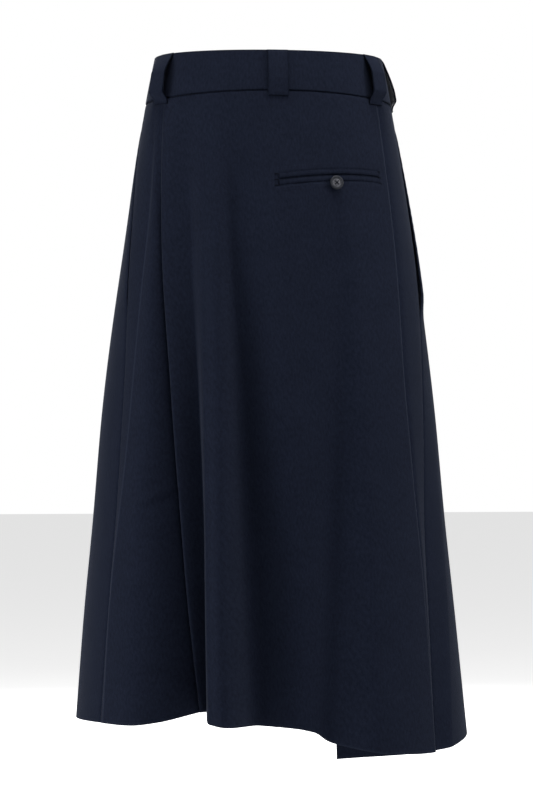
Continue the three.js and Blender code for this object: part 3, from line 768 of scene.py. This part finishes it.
def band_top(turn):
    return BAND_TOP_RISE * np.sin(np.radians(turn)) ** 2


for name, node_name, start, end in (
    ("waistband_underlap", "band_underlap", UNDERLAP_END, BAND_RIGHT_JOIN),
    ("waistband_back", "band_back", BAND_RIGHT_JOIN, BAND_LEFT_JOIN),
    ("waistband_wrap", "band_wrap", BAND_LEFT_JOIN, FLAP_END),
):
    turns = np.linspace(end, start, BAND_PARTS)
    length = float(np.sum(metres_per_degree(turns, WAIST_SEAM / 2)) * (start - end) / BAND_PARTS)
    tall = -WAIST_SEAM
    across, down = strip_grid(length, tall, BAND_STEPS)
    turn = start + (end - start) * across / length
    z = band_top(turn) + (waist_seam(turn) + BAND_SEAM_GAP - band_top(turn)) * down / tall
    ripple = BAND_RIPPLE * np.sin(across / RIPPLE_LENGTH + 2 * np.sin(across / RIPPLE_DRIFT_LENGTH))
    piece = strip(name, turn, z, ripple * np.sin(np.pi * down / tall), BAND_THICK, across, down, BAND_RADIUS)
    finish_piece(piece, navy_twill, "twill", node_name)


# Belt loops: folded strips sewn into the band's top edge and tacked just under the waist seam, bowed
# off the band between.
LOOP_WIDTH = 0.0234
LOOP_THICK = 0.0020
LOOP_BELOW_SEAM = 0.0075
LOOP_ON_BAND = BAND_THICK / 2 + LOOP_THICK / 2 + 0.0002
LOOP_ON_PANEL = CLOTH_OUT + LOOP_THICK / 2 + 0.0002
LOOP_TOP_SEWN = 0.06
LOOP_FOOT_SEWN = 0.95
LOOP_HOLLOW = 0.0003
LOOP_TOP_FLAT = 0.4
LOOP_TOP_REACH = 0.004
LOOP_TACK_FROM_FOOT = 0.0022
LOOP_TACK_DEPTH = 0.0005
LOOP_TACK_REACH = 0.0009
LOOP_STEPS = (0.0016, 0.0012)
LOOPS = [
    dict(name="centre_back", turn=0, lean=0, bow=0.0018, full=(0.45, 0.6)),
    dict(name="left_back", turn=-66, lean=3, bow=0.0084, full=(0.42, 0.78)),
    dict(name="right_back", turn=57, lean=-3, bow=0.0078, full=(0.4, 0.74)),
    dict(name="right_side", turn=93, lean=0, bow=0.0060, full=(0.62, 0.78)),
    dict(name="left_front", turn=-137, lean=0, bow=0.0074, full=(0.4, 0.62)),
    dict(name="right_front", turn=-218, lean=0, bow=0.0074, full=(0.4, 0.62)),
]

for row in LOOPS:
    tall = band_top(row["turn"]) - waist_seam(row["turn"]) + LOOP_BELOW_SEAM
    across, down = strip_grid(LOOP_WIDTH, tall, LOOP_STEPS)
    share = down / tall
    centre = row["turn"] + row["lean"] * share
    z = band_top(centre) - down
    turn = centre + (across - LOOP_WIDTH / 2) / metres_per_degree(centre, z)
    full_from, full_to = row["full"]
    climb = np.clip((share - LOOP_TOP_SEWN) / (full_from - LOOP_TOP_SEWN), 0, 1)
    bow = row["bow"] * (climb + np.sin(np.pi / 2 * climb)) / 2 * (1 - smooth(full_to, LOOP_FOOT_SEWN, share))
    rest = LOOP_ON_BAND + (LOOP_ON_PANEL - LOOP_ON_BAND) * smooth(LOOP_FOOT_SEWN, 1, share)
    rest *= LOOP_TOP_FLAT + (1 - LOOP_TOP_FLAT) * smooth(0, LOOP_TOP_REACH, down)
    hollow = LOOP_HOLLOW * np.cos(np.pi * (across / LOOP_WIDTH - 0.5)) ** 0.5
    tack = LOOP_TACK_DEPTH * bell(tall - down - LOOP_TACK_FROM_FOOT, LOOP_TACK_REACH)
    piece = strip(f"belt_loop_{row['name']}", turn, z, rest + bow - hollow - tack, LOOP_THICK, across, down)
    finish_piece(piece, navy_twill, "twill", f"loop_{row['name']}")


# Welt pocket on the right back: the cloth beside the slit is turned in along a stitched ditch, and
# two narrow jets of folded twill fill the opening, with the slit between them.
WELT_MARGIN = 0.0085
DITCH_DEPTH = 0.0015
DITCH_WIDTH = 0.0010
WELT_FLOOR = -0.0011
WELT_FLOOR_EDGE = 0.0006
WELT_FINE_STEP = 0.0005
WELT_STEP_ALONG = 1.6 * WELT_FINE_STEP
WELT_THICK = 0.0006
WELT_PROUD = 0.00005
WELT_BORDER = 0.0022
WELT_BORDER_SUNK = 0.0009
# How light the cloth is painted just outside the ditch, a painted highlight, and where that begins and fades
DITCH_PAINTED_HIGHLIGHT = 0.7
DITCH_PAINTED_HIGHLIGHT_FROM = 0.0010
DITCH_PAINTED_HIGHLIGHT_REACH = 0.0008
JET_CROWN = 0.0009
JET_SUNK = 0.0002
JET_THICK = 0.0012
JET_STEPS = (0.0022, 0.0006)
SLIT_PARTS = 60

slit_turns = np.linspace(*POCKET_TURNS, SLIT_PARTS)
slit_span = POCKET_TURNS[1] - POCKET_TURNS[0]
slit_length = float(np.sum(metres_per_degree(slit_turns, POCKET_ENDS_Z[0])) * slit_span / SLIT_PARTS)
box_height = 2 * JET_HEIGHT + JET_SLIT
along = np.arange(-WELT_MARGIN, slit_length + WELT_MARGIN, WELT_STEP_ALONG)
rise = np.arange(-box_height / 2 - WELT_MARGIN, box_height / 2 + WELT_MARGIN, WELT_FINE_STEP)
along, rise = np.meshgrid(along, rise, indexing="ij")
turn = POCKET_TURNS[0] + slit_span * along / slit_length
z = slit_height(turn)[0] + rise
outside = np.maximum(np.abs(rise) - box_height / 2, np.maximum(-along, along - slit_length))
height = -DITCH_DEPTH * bell(outside, DITCH_WIDTH)
in_box = np.minimum(height, WELT_FLOOR * smooth(0, WELT_FLOOR_EDGE, -outside))
border = WELT_BORDER_SUNK * smooth(WELT_MARGIN - WELT_BORDER, WELT_MARGIN, outside)
height = np.where(outside < 0, in_box, height) + (creases(turn, z) + WELT_PROUD - border)
outer, inner = (cloth_at(turn, z, CLOTH_OUT + height - behind) for behind in (0, WELT_THICK))
# The surround's colour is painted lighter just outside the ditch: a painted highlight along its roll
surround = shell("welt_surround", outer, inner,
                 flat_places(line_number["right back seam"], line_number["left back seam"], turn, z),
                 DITCH_PAINTED_HIGHLIGHT * bell(outside - DITCH_PAINTED_HIGHLIGHT_FROM, DITCH_PAINTED_HIGHLIGHT_REACH))
finish_piece(surround, navy_twill, "twill")

for name, node_name, side in (("welt_jet_upper", "welt_upper", 1), ("welt_jet_lower", "welt_lower", -1)):
    across, down = strip_grid(slit_length, JET_HEIGHT, JET_STEPS)
    turn = POCKET_TURNS[0] + slit_span * (across / slit_length)
    z = slit_height(turn)[0] + side * (JET_SLIT / 2 + down)
    crown = JET_CROWN * np.sin(np.pi * np.clip(down / JET_HEIGHT, 0, 1)) ** 0.6
    out = CLOTH_OUT - JET_SUNK - JET_THICK / 2 + crown + 0.5 * puckers(across, down)
    piece = strip(name, turn, z, out, JET_THICK, across, down)
    finish_piece(piece, navy_twill, "twill", node_name)

# Bar tacks close both ends of the pocket: stitches of navy thread down each end of the box, with three
# pairs of short ones across them.
THREAD_RADIUS = 0.00022
THREAD_SIDES = 8
THREAD_DEEP = (0.0022, 0.0028, 0.0055, 1)
THREAD_LIGHT = (0.0065, 0.0080, 0.0150, 1)
TACK_LENGTH = 0.0050
TACK_STITCHES = 5
TACK_SPREAD = 0.92
TACK_BACK = 0.12
TACK_PAIR_GAP = 0.00075
TACK_OUTSIDE = 0.0006
TACK_PROUD = 0.0001
TACK_SUNK = 0.0003
STITCH_HUMP = 0.0003
STITCH_ENDS_SUNK = 0.0005
STITCH_POINTS = 9
navy_thread, thread_tree, thread_shader = finish(
    "navy_thread", {"Roughness": 0.85, "Specular IOR Level": 0.08})
thread_place = node(thread_tree, "ShaderNodeTexCoord").outputs["Object"]
twist = node(thread_tree, "ShaderNodeTexNoise", {"Vector": thread_place, "Scale": 2500.0, "Detail": 1.0})
thread_tree.links.new(
    mixed(thread_tree, twist.outputs["Fac"], THREAD_DEEP, THREAD_LIGHT), thread_shader["Base Color"])


def threads(name, runs, radius):
    """Round threads along runs of points, as one mesh."""
    points, faces = [], []
    for run in runs:
        run = np.asarray(run, float)
        ahead = unit(np.gradient(run, axis=0))
        first = len(points)
        for centre, way in zip(run, ahead):
            aside = Vector(way).orthogonal().normalized()
            over = Vector(way).cross(aside)
            for n in range(THREAD_SIDES):
                angle = 2 * math.pi * n / THREAD_SIDES
                points.append(Vector(centre) + radius * (math.cos(angle) * aside + math.sin(angle) * over))
        last = first + (len(run) - 1) * THREAD_SIDES
        for ring in range(first, last, THREAD_SIDES):
            for n in range(THREAD_SIDES):
                a, b = ring + n, ring + (n + 1) % THREAD_SIDES
                faces.append((a, b, b + THREAD_SIDES, a + THREAD_SIDES))
        faces.append(tuple(first + n for n in reversed(range(THREAD_SIDES))))
        faces.append(tuple(last + n for n in range(THREAD_SIDES)))
    return finish_piece(in_scene(name, soft_mesh(name, points, faces)), navy_thread, "twill")


def stitch(turn_a, z_a, turn_b, z_b, out):
    """A short thread from one point of the cloth to another, humped between."""
    share = np.linspace(0, 1, STITCH_POINTS)
    lift = out + STITCH_HUMP * np.sin(np.pi * share) - STITCH_ENDS_SUNK * np.abs(2 * share - 1) ** 6
    return cloth_at(turn_a + (turn_b - turn_a) * share, z_a + (z_b - z_a) * share, lift)


for end, turn_end, way in (("left", POCKET_TURNS[0], -1), ("right", POCKET_TURNS[1], 1)):
    runs = []
    for level in (-1, 0, 1):
        z = slit_height(turn_end)[0] + level * (JET_HEIGHT + JET_SLIT / 2) * TACK_SPREAD
        reach = way * TACK_LENGTH / metres_per_degree(turn_end, z)
        for side in (-0.5, 0.5):
            at = z + side * TACK_PAIR_GAP
            start = turn_end - TACK_BACK * reach
            runs.append(stitch(start, at, turn_end + reach, at, CLOTH_OUT + TACK_PROUD))
    across_end = turn_end + TACK_OUTSIDE * way / metres_per_degree(turn_end, POCKET_ENDS_Z[0])
    for n in range(TACK_STITCHES):
        low = slit_height(turn_end)[0] + (n / TACK_STITCHES - 0.5) * box_height
        high = low + box_height / TACK_STITCHES
        runs.append(stitch(across_end, low, across_end, high, CLOTH_OUT - TACK_SUNK))
    threads(f"pocket_tack_{end}", runs, THREAD_RADIUS)


# Pocket button: grey horn-look resin, turned with a raised rim and a dished face, and sewn through
# four holes over the lower jet.
BUTTON_TURN = 23.8
BUTTON_Z = -0.1523
BUTTON_STAND = 0.0029
BUTTON_RADIUS = 0.00775
BUTTON_THICK = 0.0032
BUTTON_EDGE = 0.0008
BUTTON_DISH = 0.0046
BUTTON_DISH_DEPTH = 0.0009
BUTTON_HOLE = 0.0009
BUTTON_HOLE_OFFSET = 0.00165
BUTTON_SIDES = 72
BUTTON_SHARP = math.radians(38)
DISH_SLOPE = 0.0003
DISH_SHOULDER = 0.00025
DISH_WALL = 0.0006
DISH_GROOVE = 0.0003
DISH_FLOOR = 0.0036
DRILL_ENDS = (-0.001, 0.006)
RIM_FADE = 0.0006
HORN_DARK = (0.110, 0.112, 0.130, 1)
HORN_LIGHT = (0.165, 0.168, 0.190, 1)
HORN_RIM = (0.024, 0.027, 0.036, 1)

seat = cloth_at(BUTTON_TURN, BUTTON_Z)
facing_way = Vector(unit(cloth_at(BUTTON_TURN, BUTTON_Z, 0.001) - seat))
button_place = facing_way.to_track_quat("Z", "Y").to_matrix().to_4x4()
button_place.translation = Vector(seat) + facing_way * BUTTON_STAND


def turned(name, profile):
    """A closed turned body from (radius, height) points that start and end on its axis."""
    points = [Vector((0, 0, profile[0][1]))]
    rings = profile[1:-1]
    for radius, height in rings:
        for n in range(BUTTON_SIDES):
            angle = 2 * math.pi * n / BUTTON_SIDES
            points.append(Vector((radius * math.cos(angle), radius * math.sin(angle), height)))
    points.append(Vector((0, 0, profile[-1][1])))
    faces = []
    for n in range(BUTTON_SIDES):
        after = (n + 1) % BUTTON_SIDES
        faces.append((0, 1 + after, 1 + n))
        for ring in range(len(rings) - 1):
            a, b = 1 + ring * BUTTON_SIDES + n, 1 + ring * BUTTON_SIDES + after
            faces.append((a, b, b + BUTTON_SIDES, a + BUTTON_SIDES))
        top = 1 + (len(rings) - 1) * BUTTON_SIDES
        faces.append((top + n, top + after, len(points) - 1))
    return in_scene(name, soft_mesh(name, points, faces))


def arc(centre, radius, start, end, steps=5):
    """Points (radius, height) round part of a circle."""
    angles = np.radians(np.linspace(start, end, steps))
    return [(centre[0] + radius * math.cos(a), centre[1] + radius * math.sin(a)) for a in angles]


face_height = BUTTON_THICK - BUTTON_DISH_DEPTH
button_profile = [
    (0, 0),
    (BUTTON_RADIUS - 2 * BUTTON_EDGE, 0),
    *arc((BUTTON_RADIUS - BUTTON_EDGE, BUTTON_EDGE), BUTTON_EDGE, -90, 0),
    *arc((BUTTON_RADIUS - BUTTON_EDGE, BUTTON_THICK - BUTTON_EDGE), BUTTON_EDGE, 0, 90),
    ((BUTTON_RADIUS + BUTTON_DISH) / 2, BUTTON_THICK),
    (BUTTON_DISH + DISH_SLOPE, BUTTON_THICK - DISH_SHOULDER),
    (BUTTON_DISH, BUTTON_THICK - DISH_WALL),
    (BUTTON_DISH - DISH_SLOPE, face_height - DISH_GROOVE),
    (DISH_FLOOR, face_height),
    (0, face_height),
]
button = turned("pocket_button_body", button_profile)

low, high = DRILL_ENDS
for x, y in ((-1, -1), (-1, 1), (1, -1), (1, 1)):
    drill = turned("drill", [(0, low), (BUTTON_HOLE, low), (BUTTON_HOLE, high), (0, high)])
    drill.location = (x * BUTTON_HOLE_OFFSET, y * BUTTON_HOLE_OFFSET, 0)
    cut = button.modifiers.new("hole", "BOOLEAN")
    cut.object = drill
    cut.solver = "EXACT"
    bpy.context.view_layer.update()
    drilled = bpy.data.meshes.new_from_object(button.evaluated_get(bpy.context.evaluated_depsgraph_get()))
    button.modifiers.clear()
    button.data = drilled
    bpy.data.objects.remove(drill)
button.data.set_sharp_from_angle(angle=BUTTON_SHARP)
button.matrix_world = button_place

horn, horn_tree, horn_shader = finish("grey_horn", {"Roughness": 0.42, "Specular IOR Level": 0.35})
here = node(horn_tree, "ShaderNodeTexCoord").outputs["Object"]
apart = node(horn_tree, "ShaderNodeSeparateXYZ", {0: here}).outputs
flat_place = node(horn_tree, "ShaderNodeCombineXYZ", {"X": apart["X"], "Y": apart["Y"]}).outputs[0]
from_axis = node(horn_tree, "ShaderNodeVectorMath", {0: flat_place}, operation="LENGTH").outputs["Value"]
clouds = node(horn_tree, "ShaderNodeTexNoise", {
    "Vector": here, "Scale": 420.0, "Detail": 4.0, "Distortion": 0.6}).outputs["Fac"]
past_dish = sums(horn_tree, "SUBTRACT", from_axis, BUTTON_DISH)
rim = node(horn_tree, "ShaderNodeClamp", {"Value": sums(horn_tree, "MULTIPLY", past_dish, 1 / RIM_FADE)})
face_colour = mixed(horn_tree, clouds, HORN_DARK, HORN_LIGHT)
horn_tree.links.new(mixed(horn_tree, rim.outputs[0], face_colour, HORN_RIM), horn_shader["Base Color"])
horn_bump = node(horn_tree, "ShaderNodeBump", {"Strength": 0.15, "Distance": 0.0001, "Height": clouds})
horn_tree.links.new(horn_bump.outputs["Normal"], horn_shader["Normal"])
finish_piece(button, horn, "button", "pocket_button")

# Sewing thread crosses the button's face between its holes, and its shank goes down into the jet.
SEWING_RADIUS = 0.00026
SEWING_HUMP = 0.0005
SEWING_ENDS_SUNK = 0.0009
SEWING_POINTS = 11
SHANK_RADIUS = 0.0013
SHANK_STRANDS = 10
SHANK_WAIST = 0.8
SHANK_FOOT = 0.0007 - BUTTON_STAND
SHANK_HEAD = 0.0006
sewing = []
share = np.linspace(0, 1, SEWING_POINTS)
hump = SEWING_HUMP * np.sin(np.pi * share) ** 0.5 - SEWING_ENDS_SUNK * np.abs(2 * share - 1) ** 8
for start, end in (((-1, -1), (1, 1)), ((-1, 1), (1, -1))):
    for strand in (-1, 0, 1):
        xs = BUTTON_HOLE_OFFSET * (start[0] + (end[0] - start[0]) * share) + strand * SEWING_RADIUS
        ys = BUTTON_HOLE_OFFSET * (start[1] + (end[1] - start[1]) * share)
        sewing.append([button_place @ Vector(point) for point in zip(xs, ys, face_height + hump)])
for n in range(SHANK_STRANDS):
    angle = 2 * math.pi * n / SHANK_STRANDS
    foot = Vector((SHANK_RADIUS * math.cos(angle), SHANK_RADIUS * math.sin(angle), SHANK_FOOT))
    head = Vector((SHANK_WAIST * foot.x, SHANK_WAIST * foot.y, SHANK_HEAD))
    sewing.append([button_place @ foot.lerp(head, up) for up in np.linspace(0, 1, 4)])
threads("button_thread", sewing, SEWING_RADIUS)

# Floor: plain and pale, some way below the hem, in white surroundings that light the cloth very little
FLOOR_Z = -1.06
FLOOR_HALF = 12.0
FLOOR_GLOW = 0.75
SURROUND_LIGHT = 0.01
floor_corners = [(x * FLOOR_HALF, y * FLOOR_HALF, FLOOR_Z) for x, y in ((-1, -1), (1, -1), (1, 1), (-1, 1))]
floor_mesh = bpy.data.meshes.new("floor")
floor_mesh.from_pydata(floor_corners, [], [(0, 1, 2, 3)])
in_scene("floor", floor_mesh)
pale, pale_tree, pale_shader = finish("pale_floor", {
    "Base Color": (0.8, 0.8, 0.8, 1), "Roughness": 0.9, "Emission Color": (1, 1, 1, 1)})
seen = node(pale_tree, "ShaderNodeLightPath").outputs["Is Camera Ray"]
pale_tree.links.new(sums(pale_tree, "MULTIPLY", seen, FLOOR_GLOW), pale_shader["Emission Strength"])
floor_mesh.materials.append(pale)

world = bpy.data.worlds.new("white_surroundings")
world.use_nodes = True
bpy.context.scene.world = world
sky = world.node_tree.nodes["Background"]
sky.inputs["Color"].default_value = (1, 1, 1, 1)
seen = node(world.node_tree, "ShaderNodeLightPath").outputs["Is Camera Ray"]
world.node_tree.links.new(sums(world.node_tree, "MAXIMUM", seen, SURROUND_LIGHT), sky.inputs["Strength"])

# Soft light panels, seven round and above the back and three before the front. Each has its direction
# from the middle of the skirt, in degrees of turn and of height, and its power in watts.
SKIRT_MIDDLE = Vector((0, 0, -0.40))
LIGHTS_AWAY = 2.6
LIGHT_SIZE = 0.9
LIGHTS = [
    dict(name="left panel", turn=-78, height=5, power=26),
    dict(name="left front panel", turn=-60, height=5, power=8),
    dict(name="overhead panel", turn=0, height=82, power=38),
    dict(name="front panel", turn=0, height=35, power=5),
    dict(name="right front panel", turn=40, height=60, power=5),
    dict(name="right panel", turn=66, height=30, power=23),
    dict(name="right high panel", turn=80, height=60, power=8),
    dict(name="front of wearer panel", turn=180, height=18, power=38),
    dict(name="front left panel", turn=-160, height=25, power=12),
    dict(name="front right panel", turn=158, height=25, power=10),
]
for row in LIGHTS:
    light = bpy.data.lights.new(row["name"], "AREA")
    light.shape = "RECTANGLE"
    light.size = light.size_y = LIGHT_SIZE
    light.energy = row["power"]
    lamp = in_scene(row["name"], light)
    turn, height = math.radians(row["turn"]), math.radians(row["height"])
    way = Vector((-math.sin(turn) * math.cos(height), math.cos(turn) * math.cos(height), math.sin(height)))
    lamp.location = SKIRT_MIDDLE + LIGHTS_AWAY * way
    lamp.rotation_euler = (-way).to_track_quat("-Z", "Y").to_euler()

# Camera: level with the middle of the skirt, 3 metres behind the wearer and a little to their left
CAMERA_AWAY = 3.0
CAMERA_HEIGHT = -0.398
CAMERA_TURN = -6.0
IMAGE_HEIGHT = 801
SENSOR = 36.0
FOCAL_PIXELS = 2559
AXIS_OFF_CENTRE = 2
camera_data = bpy.data.cameras.new("camera")
camera_data.sensor_width = SENSOR
camera_data.lens = FOCAL_PIXELS / IMAGE_HEIGHT * SENSOR
camera_data.shift_x = -AXIS_OFF_CENTRE / IMAGE_HEIGHT
camera = in_scene("camera", camera_data)
camera_angle = math.radians(CAMERA_TURN)
camera.location = (-CAMERA_AWAY * math.sin(camera_angle), CAMERA_AWAY * math.cos(camera_angle), CAMERA_HEIGHT)
camera.rotation_euler = (Vector((0, 0, CAMERA_HEIGHT)) - camera.location).to_track_quat("-Z", "Y").to_euler()
bpy.context.scene.camera = camera
bpy.context.scene.view_settings.view_transform = "Standard"
